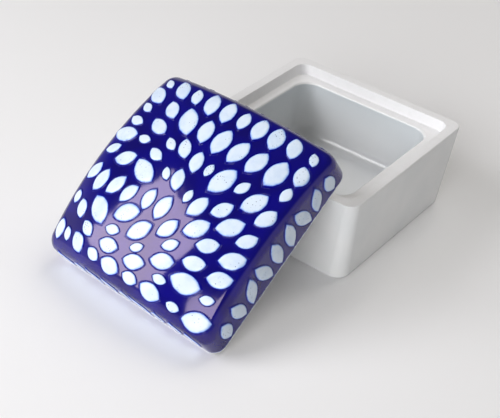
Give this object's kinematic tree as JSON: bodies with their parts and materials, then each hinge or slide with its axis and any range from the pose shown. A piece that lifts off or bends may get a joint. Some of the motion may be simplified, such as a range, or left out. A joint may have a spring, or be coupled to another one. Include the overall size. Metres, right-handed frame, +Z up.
{
  "type": "seal paste box",
  "caption": "Square porcelain seal paste box with a rounded empty well and a domed blue lid with raised pale leaves, leant on its side.",
  "frame": {"origin": "middle of the box's foot ring, on the table", "axes": "+Z up out of the box's mouth; -X towards the wall that the lid leans on; -Y towards the other wall that the picture shows"},
  "size_m": [0.1665, 0.1025, 0.0692],
  "materials": {
    "white_glaze": "gloss",
    "cobalt_glaze": "gloss",
    "pale_glaze": "gloss"
  },
  "bodies": {
    "box": {"box": "white_glaze"},
    "lid": {"lid": "cobalt_glaze", "lid_leaves": "pale_glaze"}
  },
  "joints": [
    {"name": "lid_lift", "type": "slide", "parent": "box", "child": "lid", "axis": [0, 0, 1], "range_m": [0, 0.06]}
  ]
}
